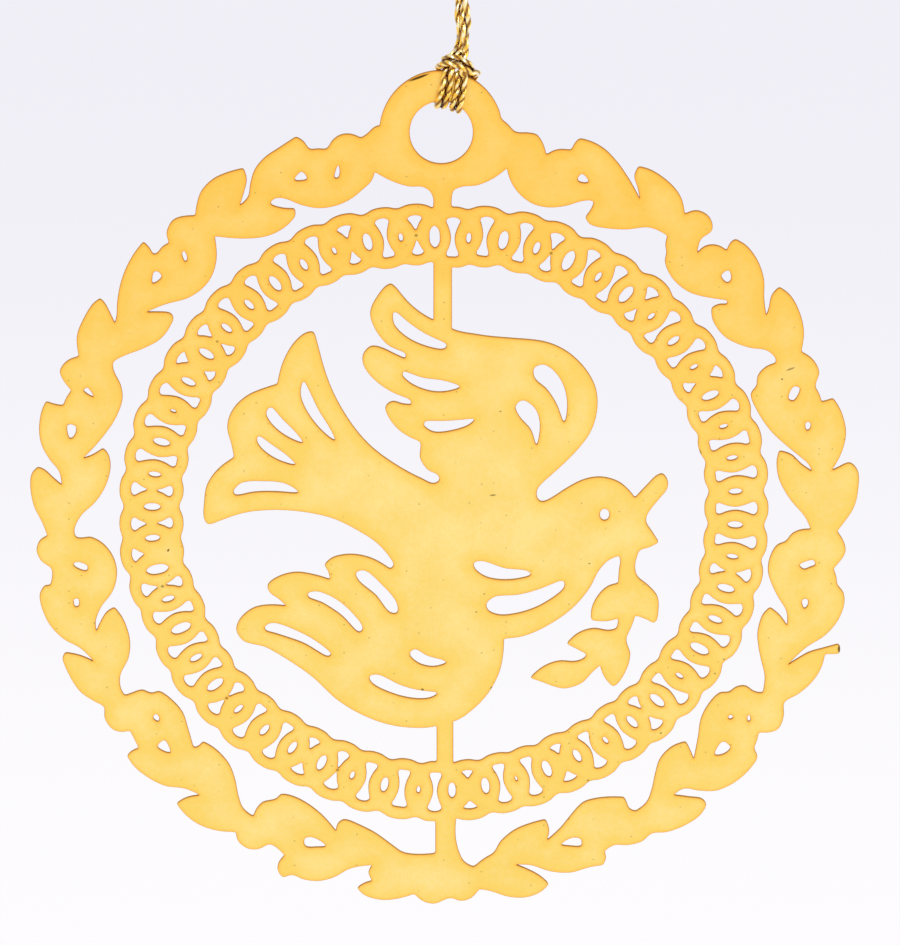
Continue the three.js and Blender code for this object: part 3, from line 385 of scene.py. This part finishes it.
def thread_tube(middle, radial, along, start, end, first_point):
    """A thread from start to end along the cord: two round lobes side by side, turned along the thread.

    With q the angle from the lobes' line, the edge is at d |cos q| + root of (a^2 - d^2 sin^2 q) for lobes
    of radius a at d from the middle. Past each end it closes in a quarter circle over the splice length.
    Returns its points, quads, end triangles and attributes.
    """
    kept = (along >= start - SPLICE) & (along <= end + SPLICE)
    tangent = unit(np.gradient(middle, axis=0))[kept]
    centre, radial, along = middle[kept], radial[kept], along[kept]
    side = unit(np.cross(tangent, radial))
    outward = np.cross(side, tangent)
    past = np.maximum(np.maximum(start - along, along - end), 0) / SPLICE
    closing = np.sqrt(1 - (SPLICE_CLOSING * np.minimum(past, 1)) ** 2)
    around = 2 * math.pi * np.arange(CORD_SIDES) / CORD_SIDES
    turned_by = around[None] - 2 * math.pi * along[:, None] / FOIL_LAY
    lobe = LOBE_OFFSET * np.abs(np.cos(turned_by))
    lobe += np.sqrt(LOBE_RADIUS ** 2 - (LOBE_OFFSET * np.sin(turned_by)) ** 2)
    reach = (THREAD_RADIUS * lobe * closing[:, None])[..., None]
    turned = np.cos(around)[None, :, None] * outward[:, None]
    turned = turned + np.sin(around)[None, :, None] * side[:, None]
    rings = (centre[:, None] + reach * turned).reshape(-1, 3)
    row, column = np.meshgrid(np.arange(len(along) - 1), np.arange(CORD_SIDES), indexing="ij")
    here = row * CORD_SIDES + column
    ahead = row * CORD_SIDES + (column + 1) % CORD_SIDES
    quads = np.stack([here, ahead, ahead + CORD_SIDES, here + CORD_SIDES], axis=-1).reshape(-1, 4)
    edge = np.arange(CORD_SIDES)
    following = (edge + 1) % CORD_SIDES
    last = len(rings) - CORD_SIDES
    near_cap = np.stack([np.full(CORD_SIDES, len(rings)), following, edge], axis=1)
    far_cap = np.stack([np.full(CORD_SIDES, len(rings) + 1), last + edge, last + following], axis=1)
    points = np.concatenate([rings, centre[:1], centre[-1:]])
    # Where the foil's painted shade goes, between the two threads and in the lay, and its painted
    # highlight, on the crowns.
    gap = np.tile(smoothstep(*GAP_RANGE, (1 - np.cos(around)) / 2), len(along))
    valley = smoothstep(*VALLEY_RANGE, np.abs(np.sin(turned_by))).ravel()
    crown = smoothstep(*CROWN_RANGE, np.abs(np.cos(turned_by))).ravel()
    ends = np.zeros(2)
    attributes = {
        "gap": np.concatenate([gap, ends]),
        "valley": np.concatenate([valley, ends]),
        "crown": np.concatenate([crown, ends]),
    }
    return points, quads + first_point, np.concatenate([near_cap, far_cap]) + first_point, attributes


def cord_piece(name, stretches, material):
    """A piece of doubled cord from one or more stretches: (pair of threads, distances, start, end)."""
    tubes = []
    count = 0
    for threads, along, start, end in stretches:
        for middle, radial in threads:
            tube = thread_tube(middle, radial, along, start, end, count)
            count += len(tube[0])
            tubes.append(tube)
    points = to_row(np.concatenate([tube[0] for tube in tubes]))
    faces = [np.concatenate([tube[part] for tube in tubes]) for part in (1, 2)]
    attributes = {key: np.concatenate([tube[3][key] for tube in tubes]) for key in tubes[0][3]}
    smooth = np.ones(len(faces[0]) + len(faces[1]), bool)
    return piece(name, points, faces, attributes, smooth, material)


def wrap_line():
    """The turns of the end knot: a slanted elliptical helix whose two ends tuck in between the strands."""
    share = np.linspace(0, 1, WRAP_POINTS)
    angle = 2 * math.pi * WRAP_TURNS * share - 0.5 * math.pi
    tuck = WRAP_TUCKED + (1 - WRAP_TUCKED) * smoothstep(0, WRAP_TUCK, np.minimum(share, 1 - share))
    x = WRAP_RADII[0] * tuck * np.cos(angle)
    y = WRAP_RADII[1] * tuck * np.sin(angle)
    z = WRAP_START + WRAP_PITCH * WRAP_TURNS * share + WRAP_SLANT * x
    return np.stack([x + HANG_POINT[0], y, z], axis=1)


def cord_pieces(material):
    """The hitch, the loop's two strands and the end knot, cut from one continuous doubled cord."""
    right, left = side_of_loop(1), side_of_loop(-1)
    route = np.concatenate([right[::-1], np.array(HITCH_ROUTE), left])
    dense = curve_through(route, SPAN_POINTS)
    at_points = lengths_along(dense)[::SPAN_POINTS]
    line, along = evenly(dense, CORD_STEP)
    through_knot = len(KNOT_ROUTE)
    right_top, right_foot = at_points[through_knot - 1], at_points[len(right) - 1]
    left_foot, left_top = at_points[-len(left)], at_points[-through_knot]
    whole = along[-1]
    threads = list(laid_pair(line, along, right_foot, left_foot))

    hitch = cord_piece("cord_hitch_laid", [(threads, along, right_foot, left_foot)], material)
    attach(hitch, "hitch")
    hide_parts("cord_hitch")

    wrap, wrap_along = evenly(wrap_line(), CORD_STEP)
    wrap_end = wrap_along[-1]
    wrap_threads = list(laid_pair(wrap, wrap_along, 0, wrap_end))
    through = [(threads, along, 0, right_top), (threads, along, left_top, whole)]
    knot = cord_piece("end_knot_tied", [*through, (wrap_threads, wrap_along, 0, wrap_end)], material)
    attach(knot, "hanger")
    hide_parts("end_knot")

    hitch_path = line[(along >= right_foot) & (along <= left_foot)]
    declare_cord(hitch_path)
    for name, start, end, backwards in (
        ("right", right_top, right_foot, True),
        ("left", left_foot, left_top, False),
    ):
        strand = cord_piece(f"cord_strand_{name}_laid", [(threads, along, start, end)], material)
        loop_point(TWIST_TOP)
        loop_point(TWIST_BOTTOM)
        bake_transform(strand)
        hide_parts(f"cord_strand_{name}")
        path = line[(along >= start) & (along <= end)]
        declare_cord(path[::-1] if backwards else path)


def loop_point(height):
    """A point on the axis that the loop twists about."""
    return tuple(to_row([HANG_POINT[0], STRAND_ROUTE[0][1], height]))


def declare_cord(path):
    """Puts a stretch's middle line into metres from the hang point; nothing is done with it."""
    points = to_row(path)


# The plate

def welded_node(name):
    """A node's points in millimetres, those in one place merged, and its triangles as point numbers."""
    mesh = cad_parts[name].data
    mesh.calc_loop_triangles()
    points = np.empty(len(mesh.vertices) * 3, np.float32)
    mesh.vertices.foreach_get("co", points)
    triangles = np.empty(len(mesh.loop_triangles) * 3, np.int32)
    mesh.loop_triangles.foreach_get("vertices", triangles)
    places = np.round(points.reshape(-1, 3).astype(float) / MM / WELD).astype(np.int64)
    unique, index = np.unique(places, axis=0, return_inverse=True)
    return unique * WELD, index.ravel()[triangles].reshape(-1, 3)


def front_edges(points, triangles):
    """The edges of the front face that only one of its triangles has, in that triangle's direction."""
    front = triangles[(points[triangles][..., 1] < -SHEET_THICKNESS / 4).all(axis=1)]
    edges = np.concatenate([front[:, [0, 1]], front[:, [1, 2]], front[:, [2, 0]]])
    forward = edges[:, 0] * len(points) + edges[:, 1]
    backward = edges[:, 1] * len(points) + edges[:, 0]
    return edges[~np.isin(forward, backward)]


def closed_loops(points, edges):
    """The outline's loops of (x, z) points, in order.

    Each point takes the lowest point number within reach ahead of it and counts the steps to it. The reach
    doubles until it is past the longest loop, and then the steps give the order.
    """
    starts, ends = edges[np.argsort(edges[:, 0])].T
    ahead = np.searchsorted(starts, ends)
    count = len(starts)
    label = np.arange(count)
    steps = np.zeros(count, int)
    reach = 1
    while reach < count:
        lower = label[ahead] < label
        steps = np.where(lower, reach + steps[ahead], steps)
        label = np.minimum(label, label[ahead])
        ahead = ahead[ahead]
        reach *= 2
    place = np.where(steps == 0, 0, count - steps)
    order = np.lexsort([place, label])
    breaks = np.flatnonzero(np.diff(label[order])) + 1
    return np.split(points[starts[order]][:, [0, 2]], breaks)


def rounded_loop(loop):
    """A loop made smooth between its corners, with a point about every outline step.

    Each span is a cubic. Its end slopes are those of the parabola through a point and its neighbours. At a
    corner the cubic ends with no bend, and between two corners it is straight. Then each point moves to the
    mean of itself and its neighbours' middle, which rounds the corners as etching does.
    """
    span = np.roll(loop, -1, axis=0) - loop
    length = np.linalg.norm(span, axis=1)[:, None]
    direction = span / length
    last, last_length = np.roll(direction, 1, axis=0), np.roll(length, 1, axis=0)
    slope = (last * length + direction * last_length) / (length + last_length)
    turn = np.arccos(np.clip((last * direction).sum(axis=1), -1, 1))[:, None]
    corner = (turn > CORNER_TURN) & (length.sum() > SMALL_LOOP)
    next_corner, next_slope = np.roll(corner, -1, axis=0), np.roll(slope, -1, axis=0)
    unbent_start = (3 * direction - next_slope) / 2
    unbent_end = (3 * direction - slope) / 2
    leave = np.where(corner, np.where(next_corner, direction, unbent_start), slope) * length
    arrive = np.where(next_corner, np.where(corner, direction, unbent_end), next_slope) * length
    pieces = np.ceil(length[:, 0] / OUTLINE_STEP).astype(int)
    owner = np.repeat(np.arange(len(loop)), pieces)
    number = np.arange(len(owner)) - np.repeat(np.cumsum(pieces) - pieces, pieces)
    t = (number / pieces[owner])[:, None]
    square = 3 * span - 2 * leave - arrive
    cube = leave + arrive - 2 * span
    fine = loop[owner] + t * (leave[owner] + t * (square[owner] + t * cube[owner]))
    return fine / 2 + (np.roll(fine, 1, axis=0) + np.roll(fine, -1, axis=0)) / 4


def inward(loop):
    """The direction into the metal at each point of a loop, which keeps the metal on its left."""
    along = unit(np.roll(loop, -1, axis=0) - np.roll(loop, 1, axis=0))
    return np.stack([-along[:, 1], along[:, 0]], axis=1)


def rim_share(loop):
    """How much of the rim's width fits at each point: less on a point of metal sharper than the rim."""
    before, after = loop - np.roll(loop, 1, axis=0), np.roll(loop, -1, axis=0) - loop
    cross = before[:, 0] * after[:, 1] - before[:, 1] * after[:, 0]
    chord = np.linalg.norm(before + after, axis=1)
    sides = np.linalg.norm(before, axis=1) * np.linalg.norm(after, axis=1)
    radius = sides * chord / np.maximum(2 * cross, STRAIGHT)
    return np.clip(RIM_FIT * radius / RIM_WIDTH, RIM_LEAST, 1)


def nearest(points, outline):
    """The distance from each point to the nearest outline point."""
    blocks = np.array_split(points.astype(np.float32), max(1, len(points) // POINTS_AT_ONCE))
    edge = outline.astype(np.float32)
    size = (edge ** 2).sum(axis=1)
    squares = [(size - 2 * block @ edge.T).min(axis=1) + (block ** 2).sum(axis=1) for block in blocks]
    return np.sqrt(np.maximum(np.concatenate(squares), 0))


def face_points(outline, into):
    """Points over a face and their distances from the outline.

    Some are in rows inset from the outline, kept where the metal is wide enough for them. The rest are in
    staggered rows, kept where they are past the inset ones.
    """
    inset = np.concatenate([outline[::2] + distance * into[::2] for distance in INSET_ROWS])
    low, high = outline.min(axis=0), outline.max(axis=0)
    rows = np.arange(low[1], high[1], FACE_PITCH * math.sqrt(0.75))
    columns = np.arange(low[0], high[0], FACE_PITCH)
    x, z = np.meshgrid(columns, rows)
    x[1::2] += FACE_PITCH / 2
    inside = np.stack([x.ravel(), z.ravel()], axis=1)
    points = np.concatenate([inset, inside])
    inset_room = np.repeat(INSET_ROWS, len(inset) // len(INSET_ROWS)) * INSET_ROOM
    room = np.concatenate([inset_room, np.full(len(inside), FACE_CLEARANCE)])
    away = nearest(points, outline)
    return points[away > room], away[away > room]


def plate_piece(material):
    """The sheet: two flat faces and a wall round every outline.

    The wall's profile, carried along each loop, is a bevelled rim, a wall with a low ridge in the middle
    where the etching from both faces met, and the other rim.
    """
    loops = [rounded_loop(loop) for loop in closed_loops(*plate_edges())]
    sizes = np.array([len(loop) for loop in loops])
    outline = np.concatenate(loops)
    into = np.concatenate([inward(loop) for loop in loops])
    share = np.concatenate([rim_share(loop) for loop in loops])[:, None]
    half = SHEET_THICKNESS / 2
    bevel = half - RIM_WIDTH
    profile = [(RIM_WIDTH, -half), (0, -bevel), (-WALL_RIDGE, 0), (0, bevel), (RIM_WIDTH, half)]
    rings = []
    for inset, depth in profile:
        ring = outline + into * inset * share
        rings.append(np.insert(ring, 1, depth, axis=1))
    count = len(outline)
    starts = np.repeat(np.cumsum(sizes) - sizes, sizes)
    following = starts + (np.arange(count) - starts + 1) % np.repeat(sizes, sizes)
    here = np.arange(count)
    strip = np.stack([here, here + count, following + count, following], axis=1)
    strips = [strip + k * count for k in range(len(profile) - 1)]
    grid, away = face_points(outline, into)
    flat = np.concatenate([rings[0][:, [0, 2]], grid])
    triangles, used = filled(flat, np.split(here, np.cumsum(sizes)[:-1]))
    grid, away = grid[used], away[used]
    wall_count = len(profile) * count
    front_ids = np.concatenate([here, wall_count + np.arange(len(grid))])
    back_ids = np.concatenate([here + wall_count - count, wall_count + len(grid) + np.arange(len(grid))])
    flats = [front_ids[triangles], back_ids[triangles[:, ::-1]]]
    faces = [np.concatenate(strips), np.concatenate(flats)]
    points = np.concatenate([
        *rings,
        np.insert(grid, 1, -half, axis=1),
        np.insert(grid, 1, half, axis=1),
    ])
    attributes = {
        "edge_distance": np.concatenate([np.zeros(wall_count), away, away]),
        "etched_wall": np.concatenate([np.repeat(WALL_TONE, count), np.zeros(2 * len(grid))]),
    }
    smooth = np.concatenate([np.ones(len(faces[0]), bool), np.zeros(len(faces[1]), bool)])
    made = piece("etched_plate_gilt", points * MM, faces, attributes, smooth, material)
    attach(made, "plate")
    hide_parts("etched_plate")


def plate_edges():
    """The plate's welded points and the edges of its front face."""
    points, triangles = welded_node("etched_plate")
    return points, front_edges(points, triangles)


def filled(flat, loops):
    """Triangles of the metal between the loops, and which of the points past the loops they use."""
    outline_count = sum(len(loop) for loop in loops)
    edges = [loop.tolist() for loop in loops]
    result = delaunay_2d_cdt(flat.tolist(), [], edges, 2, FILL_TOLERANCE)
    points, _, faces, origins = result[:4]
    if len(points) != len(flat):
        raise ValueError(f"the rims cross: {len(points)} points from {len(flat)}")
    numbers = np.array([origin[0] for origin in origins])
    triangles = numbers[np.array(faces)]
    used = np.unique(triangles)
    kept = used[used >= outline_count]
    renumber = np.arange(len(flat))
    renumber[kept] = outline_count + np.arange(len(kept))
    return renumber[triangles], kept - outline_count


# Finishes

def node(tree, kind, inputs=(), **settings):
    """A shader node. Inputs are (socket, value) pairs, and a value that is a socket is linked."""
    made = tree.nodes.new(kind)
    for key, value in settings.items():
        setattr(made, key, value)
    for key, value in inputs:
        if isinstance(value, bpy.types.NodeSocket):
            tree.links.new(value, made.inputs[key])
        else:
            made.inputs[key].default_value = value
    return made


def mixed(tree, factor, first, second, blend="MIX"):
    """The colour between two colours."""
    inputs = [(0, factor), (6, first), (7, second)]
    return node(tree, "ShaderNodeMix", inputs, data_type="RGBA", blend_type=blend).outputs[2]


def ranged(tree, value, low, high, out_low=0.0, out_high=1.0):
    """A value taken from one range to another, smoothly."""
    inputs = [("Value", value), ("From Min", low), ("From Max", high)]
    inputs += [("To Min", out_low), ("To Max", out_high)]
    return node(tree, "ShaderNodeMapRange", inputs, interpolation_type="SMOOTHSTEP").outputs["Result"]


def combined(tree, operation, first, second):
    """Two values through a math operation."""
    return node(tree, "ShaderNodeMath", [(0, first), (1, second)], operation=operation).outputs[0]


def attribute(tree, name):
    """A point attribute's value."""
    return node(tree, "ShaderNodeAttribute", attribute_name=name).outputs["Fac"]


def millimetres(tree):
    """The place on the piece in millimetres."""
    place = node(tree, "ShaderNodeTexCoord").outputs["Object"]
    inputs = [("Vector", place), ("Scale", (1 / MM,) * 3)]
    return node(tree, "ShaderNodeMapping", inputs).outputs["Vector"]


def drawing_place(tree):
    """The place on the sheet as the drawing's (x, z, 0), its height and its depth from the middle."""
    parts = node(tree, "ShaderNodeSeparateXYZ", [("Vector", millimetres(tree))])
    x = combined(tree, "ADD", parts.outputs["X"], HANG_POINT[0])
    z = combined(tree, "ADD", parts.outputs["Z"], HANG_POINT[2])
    place = node(tree, "ShaderNodeCombineXYZ", [("X", x), ("Y", z)]).outputs["Vector"]
    return place, z, parts.outputs["Y"]


def noise(tree, place, scale, detail):
    """Soft noise with features of about 1 / scale millimetres."""
    inputs = [("Vector", place), ("Scale", scale), ("Detail", detail), ("Roughness", NOISE_ROUGHNESS)]
    return node(tree, "ShaderNodeTexNoise", inputs).outputs["Fac"]


def finish(name):
    """A new material, its tree and its shader."""
    material = bpy.data.materials.new(name)
    material.use_nodes = True
    tree = material.node_tree
    return material, tree, tree.nodes["Principled BSDF"]


def spot(tree, place, row):
    """A mark's strength on it and 0 off it, by the distance from its middle in its own half sizes."""
    x, z, half_length, half_width, degrees, strength = row
    own = node(
        tree,
        "ShaderNodeMapping",
        [
            ("Vector", place),
            ("Location", (x, z, 0)),
            ("Rotation", (0, 0, math.radians(degrees))),
            ("Scale", (half_length, half_width, 1)),
        ],
        vector_type="TEXTURE",
    )
    away = node(tree, "ShaderNodeVectorMath", [(0, own.outputs["Vector"])], operation="LENGTH")
    return ranged(tree, away.outputs["Value"], MARK_CORE, 1.0, strength, 0.0)


def specks(tree, place):
    """A dot in a few cells of a random pattern."""
    inputs = [("Vector", place), ("Scale", SPECK_CELLS), ("Randomness", 1.0)]
    cells = node(tree, "ShaderNodeTexVoronoi", inputs, voronoi_dimensions="2D")
    lot = node(tree, "ShaderNodeSeparateColor", [("Color", cells.outputs["Color"])]).outputs["Red"]
    dot = ranged(tree, cells.outputs["Distance"], *SPECK_RADII, SPECK_STRENGTH, 0.0)
    return combined(tree, "MULTIPLY", dot, ranged(tree, lot, 1 - SPECK_SHARE, 1.0))


def marked(tree, place, depth):
    """Where the sheet is dark: its specks, and the marks on its front half."""
    marks = 0.0
    for row in MARKS:
        marks = combined(tree, "MAXIMUM", marks, spot(tree, place, row))
    front = ranged(tree, depth, -FRONT_FADE, FRONT_FADE, 1.0, 0.0)
    return combined(tree, "MAXIMUM", specks(tree, place), combined(tree, "MULTIPLY", marks, front))


def gilt_brass():
    """Satin gilt: paler in the open, deeper by the edges and up the frame, with brown walls."""
    material, tree, shader = finish("gilt_brass")
    place, height, depth = drawing_place(tree)
    radius = node(tree, "ShaderNodeVectorMath", [(0, place)], operation="LENGTH").outputs["Value"]
    away = attribute(tree, "edge_distance")
    wall = attribute(tree, "etched_wall")

    pale = ranged(tree, away, *EDGE_DISTANCES, *EDGE_PALENESS)
    noises = {}
    for name, (scale, detail, swing) in GILT_NOISES.items():
        noises[name] = noise(tree, place, scale, detail)
        pale = combined(tree, "ADD", pale, ranged(tree, noises[name], *NOISE_MIDDLE, -swing, swing))
    colour = mixed(tree, pale, GILT_EDGE, GILT_OPEN)
    colour = mixed(tree, ranged(tree, away, 0.0, RIM_FADE), GILT_RIM, colour)
    on_frame = ranged(tree, radius, *FRAME_RADII, INSIDE_SHADE, 1.0)
    shade = combined(tree, "MULTIPLY", ranged(tree, height, *SHADE_HEIGHTS), on_frame)
    colour = mixed(tree, shade, colour, GILT_SHADE, "MULTIPLY")
    colour = mixed(tree, marked(tree, place, depth), colour, GILT_MARK)
    colour = mixed(tree, wall, colour, GILT_WALL)
    tree.links.new(colour, shader.inputs["Base Color"])

    satin = ranged(tree, noises["cloud"], *NOISE_MIDDLE, *GILT_ROUGHNESS)
    matt_wall = ranged(tree, wall, 0.0, WALL_TONE[0], 0.0, WALL_ROUGHNESS)
    tree.links.new(combined(tree, "MAXIMUM", satin, matt_wall), shader.inputs["Roughness"])
    dents = [("Height", noises["grain"]), ("Strength", GRAIN_STRENGTH), ("Distance", GRAIN_HEIGHT * MM)]
    bump = node(tree, "ShaderNodeBump", dents)
    tree.links.new(bump.outputs["Normal"], shader.inputs["Normal"])
    shader.inputs["Metallic"].default_value = 1.0
    return material


def foil_thread():
    """Gold foil thread: pale painted highlights on crowns, deep painted shade in the lay, brown between
    threads.
    """
    material, tree, shader = finish("foil_thread")
    fleck = noise(tree, millimetres(tree), FLECK_SCALE, FLECK_DETAIL)
    foil = mixed(tree, ranged(tree, fleck, *FLECK_TONE), FOIL_DEEP, FOIL_BRIGHT)
    # Painted highlight: a pale colour on the crowns where the flecks are high.
    painted_highlight = combined(tree, "MULTIPLY", attribute(tree, "crown"), ranged(tree, fleck, *FLECK_PAINTED_HIGHLIGHT))
    foil = mixed(tree, painted_highlight, foil, FOIL_PAINTED_HIGHLIGHT)
    # Painted shade: a dark colour in the lay between a thread's strands, and a darker one where the two
    # threads meet.
    laid = mixed(tree, attribute(tree, "valley"), foil, FOIL_LAY_SHADE)
    colour = mixed(tree, attribute(tree, "gap"), laid, FOIL_GAP_SHADE)
    tree.links.new(colour, shader.inputs["Base Color"])
    tree.links.new(ranged(tree, fleck, *NOISE_MIDDLE, *FOIL_ROUGHNESS), shader.inputs["Roughness"])
    shader.inputs["Metallic"].default_value = 1.0
    shader.inputs["Coat Weight"].default_value = FOIL_COAT
    shader.inputs["Coat Roughness"].default_value = FOIL_COAT_ROUGHNESS
    return material


# The stage

def camera():
    """The photograph's view: a long lens in front of the plate, looking down a little."""
    data = bpy.data.cameras.new("camera")
    data.sensor_fit = "HORIZONTAL"
    data.sensor_width = SENSOR_WIDTH
    data.lens = SENSOR_WIDTH * VIEW_DISTANCE / VIEW_WIDTH
    made = bpy.data.objects.new("camera", data)
    back = np.array([0, -math.cos(VIEW_ELEVATION), math.sin(VIEW_ELEVATION)])
    made.location = Vector(to_row(VIEW_AIM) + back * VIEW_DISTANCE * MM)
    made.rotation_euler = (math.pi / 2 - VIEW_ELEVATION, 0, 0)
    bpy.context.scene.collection.objects.link(made)
    bpy.context.scene.camera = made


def pale_floor():
    """A pale floor that mostly shows its own colour to the camera and to metal, and keeps a shadow."""
    material, tree, shader = finish("pale_floor")
    place = node(tree, "ShaderNodeTexCoord").outputs["Object"]
    depth = node(tree, "ShaderNodeSeparateXYZ", [("Vector", place)]).outputs["Y"]
    colour = mixed(tree, ranged(tree, depth, *FLOOR_RAMP), FLOOR_NEAR, FLOOR_FAR)
    tree.links.new(colour, shader.inputs["Base Color"])
    shader.inputs["Roughness"].default_value = FLOOR_ROUGHNESS
    glow = node(tree, "ShaderNodeEmission", [("Color", colour), ("Strength", 1.0)])
    rays = node(tree, "ShaderNodeLightPath")
    seen = combined(tree, "MULTIPLY", rays.outputs["Is Camera Ray"], FLOOR_GLOW)
    seen = combined(tree, "MAXIMUM", seen, rays.outputs["Is Glossy Ray"])
    seen = combined(tree, "MAXIMUM", seen, rays.outputs["Is Transmission Ray"])
    shaders = [(1, shader.outputs[0]), (2, glow.outputs[0])]
    both = node(tree, "ShaderNodeMixShader", [(0, seen), *shaders])
    tree.links.new(both.outputs[0], tree.nodes["Material Output"].inputs["Surface"])
    return material


def stage():
    """The floor, the world and the lamps."""
    corners = np.array([[-1, -1, 0], [1, -1, 0], [1, 1, 0], [-1, 1, 0]]) * FLOOR_HALF
    quad = [np.array([[0, 1, 2, 3]])]
    floor = piece("floor", corners + [0, 0, FLOOR_HEIGHT], quad, {}, [False], pale_floor())
    floor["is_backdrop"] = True
    world = bpy.data.worlds.new("studio")
    world.use_nodes = True
    backdrop = world.node_tree.nodes["Background"]
    backdrop.inputs["Color"].default_value = WORLD_COLOUR
    backdrop.inputs["Strength"].default_value = WORLD_STRENGTH
    bpy.context.scene.world = world
    for name, (place, size, power) in LAMPS.items():
        lamp(name, place, size, power)


def lamp(name, place, size, power):
    """A square soft lamp that faces the middle of the plate."""
    data = bpy.data.lights.new(name, "AREA")
    data.size = size
    data.energy = power
    made = bpy.data.objects.new(name, data)
    made.location = place
    aim = Vector(to_row([0, 0, 0])) - Vector(place)
    made.rotation_euler = aim.to_track_quat("-Z", "Y").to_euler()
    bpy.context.scene.collection.objects.link(made)


camera()
cord_pieces(foil_thread())
plate_piece(gilt_brass())
stage()
bpy.context.scene.view_settings.view_transform = "Standard"

boxes = {"solids": solids_box, "visual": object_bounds()}
{key: [[float(each) for each in corner] for corner in box] for key, box in boxes.items()}
